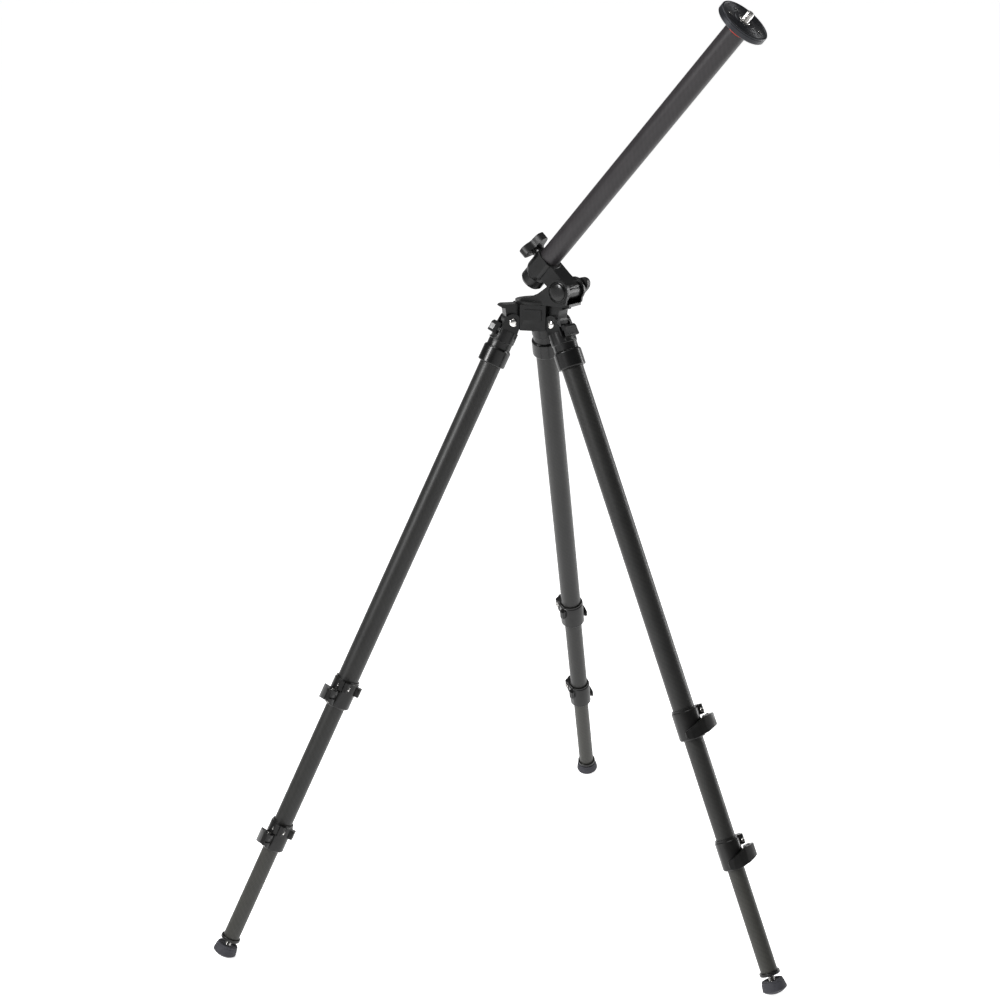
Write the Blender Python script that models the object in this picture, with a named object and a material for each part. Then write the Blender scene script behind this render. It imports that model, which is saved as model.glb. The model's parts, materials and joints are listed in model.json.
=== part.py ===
"""Carbon-fibre tripod with three flip-locked leg sections and a tilting lateral centre column.

Metres, +Z up. Every piece is one closed body in the frame of the joint that carries it:
hub frame > pan > tilt > column, and hub frame > leg > middle section > lower section > foot.
"""

import math

import bpy
from mathutils import Matrix, Vector

MM = 0.001

# ---- stance --------------------------------------------------------------------------------
LEG_AZIMUTH = {"a": -163.26, "b": -43.26, "c": 76.74}  # degrees, right leg is b, rear leg is c
LEG_SPREAD = 25.32  # from the hub axis
PAN_AZIMUTH = -36.0  # where the column leans
COLUMN_ELEVATION = 48.0
PIVOT_DOWN = 83.5 * MM  # leg pivot, along the leg axis from the point where the three axes meet

# ---- tubes: outer radius, inner radius ------------------------------------------------------
TUBE_1 = (14.0 * MM, 12.75 * MM)
TUBE_2 = (12.4 * MM, 11.15 * MM)
TUBE_3 = (10.85 * MM, 9.6 * MM)
COLUMN = (13.5 * MM, 12.2 * MM)
GAP = 0.3 * MM
SIDES = 32

# ---- leg stations, down the leg from its pivot ----------------------------------------------
HEAD_END = 36.0 * MM
COLLAR_END = 59.1 * MM
TUBE_1_TOP = 18.0 * MM
LOCK_1_TOP = 507.5 * MM
LOCK_LENGTH = 38.6 * MM
MIDDLE_SHOWN = {"a": 171.5 * MM, "b": 130.0 * MM, "c": 130.0 * MM}
LOWER_SHOWN = 133.2 * MM
MIDDLE_HIDDEN = 519.5 * MM  # middle tube above the lower face of lock 1 when pushed home
LOWER_HIDDEN = 550.0 * MM  # lower tube above the lower face of lock 2 when pushed home

# ---- foot -----------------------------------------------------------------------------------
FLANGE = 4.5 * MM
FOOT_GAP = {"a": 6.5 * MM, "b": 6.5 * MM, "c": 1.2 * MM}  # how far each foot is screwed out
FOOT_HEIGHT = 18.0 * MM
FOOT_BALL = 24.0 * MM
FOOT_RADIUS = 15.8 * MM

# ---- flip locks -----------------------------------------------------------------------------
LOCK_TURN = 43.0  # where a lock's hinge tongue points, from the leg's outward side
SPLIT_TURN = 25.0  # where its screw boss points, from the tongue
LEVER_MID = -23.5 * MM

# ---- hub ------------------------------------------------------------------------------------
HUB_TOP = -52.6 * MM
HUB_BOTTOM = -85.5 * MM
PANEL_OFFSET = 26.0 * MM
BORE = 20.6 * MM
LUG_HALF = 8.5 * MM
EAR_INNER = 8.9 * MM
EAR_OUTER = 13.3 * MM
PIVOT_BOSS = 10.5 * MM

# ---- tilting column carrier -----------------------------------------------------------------
HINGE_OUT = 45.0 * MM  # hinge from the hub axis, and the column from the hinge
HINGE_Z = -33.6 * MM
RING_TOP = -49.0 * MM
CHEEK_INNER = 15.6 * MM
CHEEK_OUTER = 19.0 * MM
CHEEK_RADIUS = 15.5 * MM
BARREL_RADIUS = 17.2 * MM
BARREL_LOW, BARREL_HIGH = -19.0 * MM, 11.0 * MM
BARREL_HALF = 15.2 * MM
KNUCKLE = 12.2 * MM
KNOB_Z = 5.0 * MM
PLATE_TOP = 407.4 * MM
PLATE_RADIUS = 32.2 * MM


# ---- helpers --------------------------------------------------------------------------------
def new_object(name, verts, faces):
    """A mesh object with its faces turned outwards."""
    mesh = bpy.data.meshes.new(name)
    mesh.from_pydata(verts, [], faces)
    mesh.update()
    obj = bpy.data.objects.new(name, mesh)
    bpy.context.scene.collection.objects.link(obj)
    if signed_volume(mesh) < 0:
        mesh.flip_normals()
    return obj


def signed_volume(mesh):
    mesh.calc_loop_triangles()
    total = 0.0
    for tri in mesh.loop_triangles:
        a, b, c = (mesh.vertices[i].co for i in tri.vertices)
        total += a.dot(b.cross(c))
    return total


def lathe(name, profile, sides=SIDES, turn=0.0):
    """A closed (radius, z) loop turned about Z. Points with radius 0 become poles."""
    verts, rows = [], []
    for radius, z in profile:
        if radius <= 1e-9:
            rows.append([len(verts)] * sides)
            verts.append((0.0, 0.0, z))
        else:
            rows.append(list(range(len(verts), len(verts) + sides)))
            for k in range(sides):
                a = turn + 2 * math.pi * k / sides
                verts.append((radius * math.cos(a), radius * math.sin(a), z))
    faces = []
    for i, row in enumerate(rows):
        below = rows[(i + 1) % len(rows)]
        for k in range(sides):
            m = (k + 1) % sides
            face = []
            for index in (row[k], row[m], below[m], below[k]):
                if index not in face:
                    face.append(index)
            if len(face) > 2:
                faces.append(face)
    return new_object(name, verts, faces)


def prism(name, outline, low, high, axis="Z"):
    """A 2-D outline pushed along an axis. Y prisms take (x, z) points, X prisms (y, z)."""
    n = len(outline)

    def point(p, h):
        return {"Z": (p[0], p[1], h), "Y": (p[0], h, p[1]), "X": (h, p[0], p[1])}[axis]

    verts = [point(p, low) for p in outline] + [point(p, high) for p in outline]
    faces = [list(range(n))[::-1], list(range(n, 2 * n))]
    faces += [[k, (k + 1) % n, n + (k + 1) % n, n + k] for k in range(n)]
    return new_object(name, verts, faces)


def box(name, x0, x1, y0, y1, z0, z1):
    return prism(name, [(x0, y0), (x1, y0), (x1, y1), (x0, y1)], z0, z1)


def rod(name, radius, low, high, sides=24, axis="Z", centre=(0.0, 0.0), turn=0.0):
    """A cylinder along an axis, centred on two coordinates of the plane across it."""
    ring = arc(centre, radius, 0, 360, sides, turn)
    return prism(name, ring, low, high, axis)


def arc(centre, radius, start, end, count, turn=0.0):
    """Points on a circle, degrees. A full turn leaves out the repeated last point."""
    full = abs(end - start) >= 360
    steps = count if full else count - 1
    return [
        (
            centre[0] + radius * math.cos(math.radians(turn + start + (end - start) * k / steps)),
            centre[1] + radius * math.sin(math.radians(turn + start + (end - start) * k / steps)),
        )
        for k in range(count)
    ]


def combine(base, operation, tools):
    """Applies one exact Boolean per tool, then removes the tools."""
    for tool in tools:
        step = base.modifiers.new(tool.name, "BOOLEAN")
        step.operation = operation
        step.solver = "EXACT"
        step.object = tool
    bpy.context.view_layer.update()
    graph = bpy.context.evaluated_depsgraph_get()
    mesh = bpy.data.meshes.new_from_object(base.evaluated_get(graph))
    base.modifiers.clear()
    base.data = mesh
    mesh.name = base.name
    for tool in tools:
        bpy.data.objects.remove(tool, do_unlink=True)
    return base


def join(base, *tools):
    return combine(base, "UNION", tools)


def cut(base, *tools):
    return combine(base, "DIFFERENCE", tools)


def common(base, *tools):
    return combine(base, "INTERSECT", tools)


def turned(obj, matrix):
    """Moves the mesh itself, so that the object keeps its joint's frame."""
    obj.data.transform(matrix)
    return obj


def about_z(degrees):
    return Matrix.Rotation(math.radians(degrees), 4, "Z")


def frame(name, parent, matrix=None):
    empty = bpy.data.objects.new(name, None)
    empty.empty_display_size = 0.02
    bpy.context.scene.collection.objects.link(empty)
    empty.parent = parent
    empty.matrix_local = matrix or Matrix()
    return empty


def finish(obj, parent, colour, roughness, metallic=0.0):
    """Parents a piece to its joint's frame and gives it a plain material of its own."""
    obj.parent = parent
    material = bpy.data.materials.new(obj.name)
    material.use_nodes = True
    shader = material.node_tree.nodes["Principled BSDF"]
    shader.inputs["Base Color"].default_value = (*colour, 1.0)
    shader.inputs["Roughness"].default_value = roughness
    shader.inputs["Metallic"].default_value = metallic
    material.diffuse_color = (*colour, 1.0)
    obj.data.materials.clear()
    obj.data.materials.append(material)
    return obj


CARBON = ((0.045, 0.045, 0.048), 0.42)
CASTING = ((0.020, 0.020, 0.022), 0.45)
GLOSS = ((0.012, 0.012, 0.014), 0.22)
RUBBER = ((0.022, 0.022, 0.026), 0.75)
STEEL = ((0.62, 0.61, 0.59), 0.25, 1.0)
ANODISED = ((0.024, 0.024, 0.027), 0.35)
ACCENT = ((0.55, 0.05, 0.03), 0.4)


def tube(name, size, low, high):
    outer, inner = size
    return lathe(name, [(outer, low), (outer, high), (inner, high), (inner, low)])


def lobed(lobes, base, tip, turn=0.0, count=42, power=1.2):
    """Outline of a wing knob: rounded lobes out to tip, waists at base."""
    points = []
    for k in range(count):
        a = 2 * math.pi * k / count
        r = base + (tip - base) * ((1 + math.cos(lobes * a)) / 2) ** power
        b = a + math.radians(turn)
        points.append((r * math.cos(b), r * math.sin(b)))
    return points


# ---- hub ------------------------------------------------------------------------------------
def leg_frame_matrix(leg):
    """Leg frame: Z back up the leg, X outwards, Y along the pivot bolt."""
    lean = Matrix.Rotation(math.radians(-LEG_SPREAD), 4, "Y")
    down = Matrix.Translation((0, 0, -PIVOT_DOWN))
    return about_z(LEG_AZIMUTH[leg]) @ lean @ down


def pivot_in_hub():
    """(radius, z) of every leg pivot in the hub frame."""
    a = math.radians(LEG_SPREAD)
    return PIVOT_DOWN * math.sin(a), -PIVOT_DOWN * math.cos(a)


def hub_casting(root):
    """Casting with a flat panel between the legs, and a lobe over a lug for each leg."""
    pivot_x, pivot_z = pivot_in_hub()
    core = []
    for leg in ("a", "b", "c"):
        for y in (-19 * MM, 19 * MM):
            p = about_z(LEG_AZIMUTH[leg] + 60) @ Vector((PANEL_OFFSET, y, 0))
            core.append((p.x, p.y))
    hub = prism("hub_casting", core, HUB_BOTTOM, HUB_TOP)
    panels, pockets, lugs, holes = [], [], [], []
    for leg in ("a", "b", "c"):
        turn = about_z(LEG_AZIMUTH[leg])
        panel = box("panel", 22 * MM, PANEL_OFFSET + 1.4 * MM, -11 * MM, 11 * MM,
                    HUB_TOP - 19 * MM, HUB_TOP - 6 * MM)
        panels.append(turned(panel, about_z(LEG_AZIMUTH[leg] + 60)))
        pocket = box("pocket", 24.2 * MM, 60 * MM, -14.2 * MM, 14.2 * MM,
                     HUB_BOTTOM - 5 * MM, HUB_TOP + 5 * MM)
        pockets.append(turned(pocket, turn))
        profile = [(22 * MM, pivot_z - 9.6 * MM)]
        profile += arc((pivot_x, pivot_z), PIVOT_BOSS, -78, 44, 8)
        profile += [(pivot_x + 8.0 * MM, pivot_z + 12 * MM), (pivot_x + 9.0 * MM, HUB_TOP - 5 * MM),
                    (49.0 * MM, HUB_TOP - 4.2 * MM), (50.5 * MM, HUB_TOP - 2.8 * MM),
                    (49.0 * MM, HUB_TOP - 0.8 * MM), (46.0 * MM, HUB_TOP), (22 * MM, HUB_TOP)]
        lugs.append(turned(prism("lug", profile, -LUG_HALF, LUG_HALF, "Y"), turn))
        hole = rod("hole", 3.3 * MM, -20 * MM, 20 * MM, 16, "Y", (pivot_x, pivot_z))
        holes.append(turned(hole, turn))
    join(hub, *panels)
    cut(hub, *pockets)
    join(hub, *lugs)
    cut(hub, rod("bore", BORE, HUB_BOTTOM - 5 * MM, HUB_TOP + 5 * MM, 40), *holes)
    return finish(hub, root, *CASTING)


def pivot_bolt(leg, root):
    """Bolt with a domed head at each end; it stays with the hub."""
    end, dome = 13.6 * MM, 5.4 * MM
    profile = [(0, end + 2.6 * MM), (2.2 * MM, end + 2.6 * MM), (4.4 * MM, end + 1.8 * MM),
               (dome, end + 0.5 * MM), (dome, end), (3.0 * MM, end)]
    profile += [(r, -z) for r, z in reversed(profile)]
    bolt = lathe("pivot_bolt_" + leg, profile, 16)
    pivot_x, pivot_z = pivot_in_hub()
    turned(bolt, Matrix.Rotation(math.radians(90), 4, "X"))
    turned(bolt, about_z(LEG_AZIMUTH[leg]) @ Matrix.Translation((pivot_x, 0, pivot_z)))
    return finish(bolt, root, *STEEL)


# ---- pan base, tilt hinge and column clamp --------------------------------------------------
def yoke(pan):
    """Turntable ring with two hinge cheeks and their gussets."""
    low = HUB_TOP + GAP
    body = rod("yoke", 28 * MM, low, RING_TOP, 40)
    tongue = [(8 * MM, -CHEEK_OUTER), (52 * MM, -CHEEK_OUTER), (58 * MM, -13 * MM),
              (58 * MM, 13 * MM), (52 * MM, CHEEK_OUTER), (8 * MM, CHEEK_OUTER)]
    join(body, prism("tongue", tongue, low, RING_TOP))
    cut(body, rod("bore", BORE, low - 5 * MM, RING_TOP + 5 * MM, 40))
    side = [(-15 * MM, low + 1.2 * MM), (52 * MM, low + 1.2 * MM), (56 * MM, RING_TOP)]
    side += arc((HINGE_OUT, HINGE_Z), CHEEK_RADIUS, -40, 128, 14)
    side += [(25 * MM, -30.4 * MM), (14 * MM, -38.2 * MM), (2 * MM, -43.4 * MM),
             (-9 * MM, -46.2 * MM), (-15 * MM, RING_TOP)]
    centre = (HINGE_OUT, HINGE_Z)
    near = prism("near", side, -CHEEK_OUTER, -CHEEK_INNER, "Y")
    far = prism("far", side, CHEEK_INNER, CHEEK_OUTER, "Y")
    rim = rod("rim", CHEEK_RADIUS, -CHEEK_OUTER - 1.5 * MM, -CHEEK_OUTER + 1 * MM, 32, "Y", centre)
    join(body, near, far, rim)
    recess = rod("recess", 13.5 * MM, -CHEEK_OUTER - 5 * MM, -CHEEK_OUTER + 0.6 * MM, 32, "Y",
                 centre)
    axle = rod("axle", 5.4 * MM, -30 * MM, 30 * MM, 20, "Y", centre)
    cut(body, recess, axle)
    return finish(body, pan, *CASTING)


def tilt_axle(hinge):
    """Hinge pin through both cheeks, threaded at its far end for the lock knob."""
    pin = rod("tilt_axle", 5.0 * MM, -CHEEK_OUTER + 0.9 * MM, 25 * MM, 20, "Y")
    return finish(pin, hinge, *STEEL)


def tilt_cap(hinge):
    """Domed cap that closes the near end of the hinge."""
    z = CHEEK_OUTER - 0.3 * MM
    profile = [(0, z), (13.1 * MM, z), (13.1 * MM, z + 1.8 * MM), (12.2 * MM, z + 2.9 * MM),
               (9.5 * MM, z + 4.0 * MM), (5.5 * MM, z + 4.7 * MM), (0, z + 5.0 * MM)]
    cap = lathe("tilt_cap", profile, 32)
    turned(cap, Matrix.Rotation(math.radians(90), 4, "X"))
    return finish(cap, hinge, *GLOSS)


def column_clamp(tilt):
    """Barrel round the column, an arm to the hinge knuckle and a boss for the lock knob."""
    low, high = BARREL_LOW, BARREL_HIGH
    body = lathe("column_clamp", [(15.3 * MM, low), (BARREL_RADIUS, low + 6 * MM),
                                  (BARREL_RADIUS, high - 0.8 * MM),
                                  (BARREL_RADIUS - 0.8 * MM, high), (0, high), (0, low)], 40)
    common(body, box("flat", -40 * MM, 40 * MM, -BARREL_HALF, BARREL_HALF, low - 1 * MM,
                     high + 1 * MM))
    turned(body, Matrix.Translation((-HINGE_OUT, 0, 0)))
    side = [(-43 * MM, high - 0.6 * MM), (-43 * MM, -12.4 * MM), (-2 * MM, -11.8 * MM)]
    side += arc((0, 0), KNUCKLE, -75, 75, 10)
    side += [(-3 * MM, high + 0.2 * MM), (-17 * MM, high - 0.6 * MM)]
    arm = prism("arm", side, -11.5 * MM, BARREL_HALF - 0.2 * MM, "Y")
    knuckle = rod("knuckle", KNUCKLE - 0.1 * MM, -BARREL_HALF, BARREL_HALF, 28, "Y")
    boss = rod("boss", 7.0 * MM, -HINGE_OUT - 18.3 * MM, -HINGE_OUT - 12 * MM, 20, "X",
               (0, KNOB_Z))
    join(body, arm, knuckle, boss)
    bore = rod("bore", COLUMN[0] + 0.35 * MM, low - 5 * MM, high + 5 * MM, SIDES, "Z",
               (-HINGE_OUT, 0))
    hole = rod("hole", 5.4 * MM, -30 * MM, 30 * MM, 20, "Y")
    screw = rod("screw", 3.4 * MM, -HINGE_OUT - 30 * MM, -HINGE_OUT, 16, "X", (0, KNOB_Z))
    cut(body, bore, hole, screw)
    return finish(body, tilt, *CASTING)


def wing_knob(name, outline, foot, thick, parent, stem=None, blind=None):
    """Winged knob on a round foot, about Z of its own frame."""
    knob = rod(name, foot, 0, 3 * MM, 28)
    inner = [(x * 0.9, y * 0.9) for x, y in outline]
    wings = prism("wings", outline, 2 * MM, 2 * MM + thick)
    crown = prism("crown", inner, 2 * MM + thick - 1 * MM, 2 * MM + thick + 1.0 * MM)
    join(knob, wings, crown)
    if stem:
        join(knob, rod("stem", stem, -4.2 * MM, 2 * MM, 16))
    if blind:
        cut(knob, rod("blind", blind, -2 * MM, thick, 20))
    return finish(knob, parent, *CASTING)


def column_parts(column):
    """The sliding column, from its stop at the bottom to the head plate."""
    top = PLATE_TOP - 16.0 * MM
    under, rim = PLATE_TOP - 8.5 * MM, PLATE_RADIUS
    finish(tube("column_tube", COLUMN, -25 * MM, top), column, *CARBON)
    stop = [(15.2 * MM, -19.5 * MM), (15.2 * MM, -30 * MM), (12.6 * MM, -33.5 * MM),
            (0, -33.5 * MM), (0, -25.5 * MM), (13.85 * MM, -25.5 * MM), (13.85 * MM, -19.5 * MM)]
    finish(lathe("column_stop", stop), column, *CASTING)
    ring = [(14.1 * MM, top + GAP), (14.1 * MM, under - GAP), (6.3 * MM, under - GAP),
            (6.3 * MM, top + GAP)]
    finish(lathe("accent_ring", ring), column, *ACCENT)
    plate = [(rim - 1.2 * MM, under), (rim, under + 1.2 * MM), (rim, PLATE_TOP - 0.8 * MM),
             (rim - 0.6 * MM, PLATE_TOP), (rim - 2.6 * MM, PLATE_TOP),
             (rim - 3.0 * MM, PLATE_TOP - 0.6 * MM), (14 * MM, PLATE_TOP - 0.6 * MM),
             (13.4 * MM, PLATE_TOP), (9 * MM, PLATE_TOP), (8.6 * MM, PLATE_TOP - 1.2 * MM),
             (5.2 * MM, PLATE_TOP - 1.2 * MM), (5.2 * MM, under)]
    head = lathe("head_plate", plate, 40)
    spots = [(26.7, 21.6 * MM), (165.7, 19 * MM), (233.7, 21 * MM)]
    holes = []
    for angle, radius in spots:
        a = math.radians(angle)
        spot = (radius * math.cos(a), radius * math.sin(a))
        holes.append(rod("hole", 2.6 * MM, under - 2 * MM, PLATE_TOP + 2 * MM, 12, "Z", spot))
        screw = rod("plate_screw_%d" % len(holes), 2.2 * MM, under + 0.6 * MM,
                    PLATE_TOP - 1.0 * MM, 12, "Z", spot)
        finish(screw, column, *STEEL)
    cut(head, *holes)
    finish(head, column, *ANODISED)
    stud = [(11.5 * MM, top - 7 * MM), (11.5 * MM, top - 0.6 * MM), (4.76 * MM, top - 0.6 * MM),
            (4.76 * MM, PLATE_TOP + 10.2 * MM), (3.9 * MM, PLATE_TOP + 11.2 * MM),
            (0, PLATE_TOP + 11.2 * MM), (0, top - 7 * MM)]
    finish(lathe("head_stud", stud, 24), column, *STEEL)


# ---- legs -----------------------------------------------------------------------------------
def leg_head(leg, parent):
    """Forked casting that carries the top tube and swings on the pivot bolt."""
    head = lathe("leg_head_" + leg, [(16.6 * MM, -12 * MM), (16.6 * MM, -27 * MM),
                                     (15.6 * MM, -28 * MM), (15.6 * MM, -HEAD_END),
                                     (0, -HEAD_END), (0, -12 * MM)])
    side = arc((0, 0), 10.9 * MM, 0, 180, 12)
    side += [(-11.8 * MM, -15 * MM), (-11.8 * MM, -19 * MM), (11.6 * MM, -19 * MM),
             (11.6 * MM, -6 * MM)]
    ears = prism("ears", side, -EAR_OUTER, EAR_OUTER, "Y")
    join(head, ears)
    slot = box("slot", -30 * MM, 30 * MM, -EAR_INNER, EAR_INNER, -11.6 * MM, 20 * MM)
    bore = rod("bore", TUBE_1[0] + GAP, -50 * MM, -TUBE_1_TOP + 0.5 * MM, SIDES)
    hole = rod("hole", 3.3 * MM, -20 * MM, 20 * MM, 16, "Y")
    channel = box("channel", 11.9 * MM, 30 * MM, -20 * MM, 20 * MM, -26 * MM, 0)
    keyway = box("keyway", 10.9 * MM, 30 * MM, -5.4 * MM, 5.4 * MM, -17 * MM, 0)
    cut(head, slot, channel, keyway)
    cut(head, bore, hole)
    return finish(head, parent, *CASTING)


def pull_tab(leg, parent):
    """Spring-loaded tab that stops the leg at each angle; it pulls down along the leg."""
    side = [(13.0 * MM, -6.4 * MM), (16.4 * MM, -6.4 * MM), (18.8 * MM, -9.4 * MM),
            (19.2 * MM, -16 * MM), (20.0 * MM, -20.4 * MM), (18.4 * MM, -21.4 * MM),
            (14.8 * MM, -21.4 * MM), (14.8 * MM, -12.5 * MM), (12.4 * MM, -12.5 * MM),
            (12.4 * MM, -7.2 * MM)]
    tab = prism("pull_tab_" + leg, side, -10.6 * MM, 10.6 * MM, "Y")
    tooth = prism("tooth", [(11.3 * MM, -8.0 * MM), (14 * MM, -7 * MM), (14 * MM, -12.3 * MM),
                            (11.3 * MM, -12 * MM)], -4.9 * MM, 4.9 * MM, "Y")
    join(tab, tooth)
    return finish(tab, parent, *GLOSS)


def lock_collar(name, outer, bore_top, bore_low, parent, z, turn):
    """Split clamp on the end of a tube, with a screw boss above and a hinge tongue below."""
    k = outer / (17 * MM)
    mid, low = -20.3 * MM, -LOCK_LENGTH
    body = lathe(name, [(outer - 1.0 * MM, 0), (outer - 1.0 * MM, -2.2 * MM),
                        (outer, -3.0 * MM), (outer, low + 1.4 * MM), (outer - 1.2 * MM, low),
                        (bore_low, low), (bore_low, mid), (bore_top, mid), (bore_top, 0)])
    root, tip = 12 * k * MM + 3.0 * MM, 23.5 * k * MM
    boss = [(root, -7.5 * MM), (tip - 2 * MM, -7.5 * MM), (tip, -5.5 * MM), (tip, 5.5 * MM),
            (tip - 2 * MM, 7.5 * MM), (root, 7.5 * MM)]
    ears = turned(prism("ears", boss, -13.5 * MM, -0.8 * MM), about_z(SPLIT_TURN))
    block = [(root, -4 * MM), (tip - 2.5 * MM, -4 * MM), (tip - 1 * MM, -2.5 * MM),
             (tip - 1 * MM, 2.5 * MM), (tip - 2.5 * MM, 4 * MM), (root, 4 * MM)]
    stop = turned(prism("stop", block, -17 * MM, -5 * MM), about_z(SPLIT_TURN + 82))
    tongue = [(13.2 * k * MM + 2.0 * MM, -4.5 * MM)]
    tongue += arc((26 * k * MM, 0), 4.5 * MM, -90, 90, 8)
    tongue += [(13.2 * k * MM + 2.0 * MM, 4.5 * MM)]
    tongue = prism("tongue", tongue, LEVER_MID - 3.0 * MM, LEVER_MID + 3.0 * MM)
    join(body, ears, stop, tongue)
    split = turned(box("split", 10 * MM, 30 * MM, -0.6 * MM, 0.6 * MM, -16.5 * MM, 5 * MM),
                   about_z(SPLIT_TURN))
    eye = rod("eye", 1.9 * MM, -35 * MM, -16 * MM, 12, "Z", (26 * k * MM, 0))
    relief = rod("relief", bore_low, mid - 4 * MM, 5 * MM, SIDES)
    clear = rod("clear", bore_top, mid, 5 * MM, SIDES)
    cut(body, relief, clear, split, eye)
    turned(body, Matrix.Translation((0, 0, z)) @ about_z(turn))
    return finish(body, parent, *CASTING)


def lock_lever(name, outer, parent):
    """Flip lever with its pin, about Z of a frame that sits on the pin."""
    k = outer / (17 * MM)
    pin = 26.0
    plan = [(-8.4, -19.8), (-7.2, -21.2), (0, -22.0), (10, -21.4), (20, -17.8), (27.5, -11.5)]
    plan += [(p[0], p[1]) for p in arc((pin, 0), 8.0, -50, 200, 11)]
    plan += [(18.6, -7.4), (14.8, -13.0), (7.5, -17.2), (-7.2, -18.6)]
    plan = [((x - pin) * k * MM, y * k * MM) for x, y in plan]
    front = [(-8.6, -29.5), (-6.5, -26.0), (0, -23.6), (12, -18.8), (20, -15.3), (33, -15.3),
             (36, -17.5), (36, -28.5), (33, -31.0), (22, -34.6), (5, -37.4), (-4, -37.0),
             (-8.0, -34.0)]
    front = [((x - pin) * k * MM, z * MM) for x, z in front]
    lever = prism(name, plan, -45 * MM, -10 * MM)
    common(lever, prism("front", front, -30 * MM, 15 * MM, "Y"))
    low, high = LEVER_MID - 3.3 * MM, LEVER_MID + 3.3 * MM
    reach = [(0, 0)] + arc((0, 0), 14 * k * MM, 28, 232, 10)
    cut(lever, rod("slot", 5.9 * MM, low, high, 24), prism("sweep", reach, low, high))
    join(lever, rod("pin", 1.5 * MM, LEVER_MID - 5 * MM, LEVER_MID + 5 * MM, 12))
    return finish(lever, parent, *CASTING)


def flip_lock(label, leg, outer, bore_top, bore_low, carrier, z):
    """Collar and lever at height z on the section that carries them."""
    lock_collar("%s_collar_%s" % (label, leg), outer, bore_top, bore_low, carrier, z, LOCK_TURN)
    k = outer / (17 * MM)
    pin = about_z(LOCK_TURN) @ Vector((26 * k * MM, 0, 0))
    place = Matrix.Translation((pin.x, pin.y, z)) @ about_z(LOCK_TURN)
    lever = frame("%s_lever_frame_%s" % (label, leg), carrier, place)
    lock_lever("%s_lever_%s" % (label, leg), outer, lever)


def foot(leg, lower):
    """End flange, threaded shaft and rubber foot under the lower tube."""
    flange = [(13.2 * MM, -0.6 * MM), (13.2 * MM, -3.9 * MM), (12.6 * MM, -FLANGE),
              (4.4 * MM, -FLANGE), (4.4 * MM, -2.4 * MM), (TUBE_3[0] + GAP, -2.4 * MM),
              (TUBE_3[0] + GAP, 0), (12.6 * MM, 0)]
    finish(lathe("tube_end_" + leg, flange, 24), lower, *CASTING)
    carrier = frame("foot_frame_" + leg, lower)
    top = -FLANGE - FOOT_GAP[leg]
    shaft = [(0, 12 * MM), (3.4 * MM, 12 * MM), (4.0 * MM, 11.4 * MM), (4.0 * MM, top - 8 * MM),
             (0, top - 8 * MM)]
    finish(lathe("foot_shaft_" + leg, shaft, 24), carrier, *STEEL)
    low = top - FOOT_HEIGHT
    edge = math.asin(FOOT_RADIUS / FOOT_BALL)
    dome = [(FOOT_BALL * math.sin(edge * k / 6),
             low + FOOT_BALL - FOOT_BALL * math.cos(edge * k / 6)) for k in range(7)]
    rubber = dome + [(14.4 * MM, top - 3.2 * MM), (13.6 * MM, top - 2.6 * MM),
                     (14.0 * MM, top - 1.0 * MM), (13.2 * MM, top), (9.5 * MM, top),
                     (9.0 * MM, top - 0.8 * MM), (4.3 * MM, top - 0.8 * MM),
                     (4.3 * MM, top - 8.4 * MM), (0, top - 8.4 * MM)]
    finish(lathe("foot_rubber_" + leg, rubber, 28), carrier, *RUBBER)


def leg_assembly(leg, root):
    swing = frame("leg_frame_" + leg, root, leg_frame_matrix(leg))
    leg_head(leg, swing)
    pull_tab(leg, frame("tab_frame_" + leg, swing))
    collar = [(16.2 * MM, -HEAD_END - GAP), (18.0 * MM, -HEAD_END - 2.6 * MM),
              (18.0 * MM, -COLLAR_END + 1.2 * MM),
              (17.2 * MM, -COLLAR_END), (TUBE_1[0] + GAP, -COLLAR_END),
              (TUBE_1[0] + GAP, -HEAD_END - GAP)]
    finish(lathe("leg_collar_" + leg, collar, 28), swing, *GLOSS)
    finish(tube("upper_tube_" + leg, TUBE_1, -LOCK_1_TOP - 20 * MM, -TUBE_1_TOP), swing, *CARBON)
    flip_lock("upper_lock", leg, 17 * MM, TUBE_1[0] + GAP, TUBE_2[0] + 0.35 * MM, swing,
              -LOCK_1_TOP)
    shown = MIDDLE_SHOWN[leg]
    middle = frame("middle_frame_" + leg, swing,
                   Matrix.Translation((0, 0, -LOCK_1_TOP - LOCK_LENGTH)))
    finish(tube("middle_tube_" + leg, TUBE_2, -shown - 20 * MM, MIDDLE_HIDDEN - shown), middle,
           *CARBON)
    flip_lock("lower_lock", leg, 15.5 * MM, TUBE_2[0] + GAP, TUBE_3[0] + 0.35 * MM, middle,
              -shown)
    lower = frame("lower_frame_" + leg, middle,
                  Matrix.Translation((0, 0, -shown - LOCK_LENGTH - LOWER_SHOWN)))
    finish(tube("lower_tube_" + leg, TUBE_3, -2 * MM, LOWER_HIDDEN), lower, *CARBON)
    foot(leg, lower)


# ---- standing it on the floor ---------------------------------------------------------------
def foot_ball(leg):
    """Centre of the sphere under a foot, in the hub frame."""
    reach = PIVOT_DOWN + LOCK_1_TOP + 2 * LOCK_LENGTH + MIDDLE_SHOWN[leg] + LOWER_SHOWN
    reach += FLANGE + FOOT_GAP[leg] + FOOT_HEIGHT - FOOT_BALL
    a = math.radians(LEG_SPREAD)
    return about_z(LEG_AZIMUTH[leg]) @ Vector((reach * math.sin(a), 0, -reach * math.cos(a)))


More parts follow.
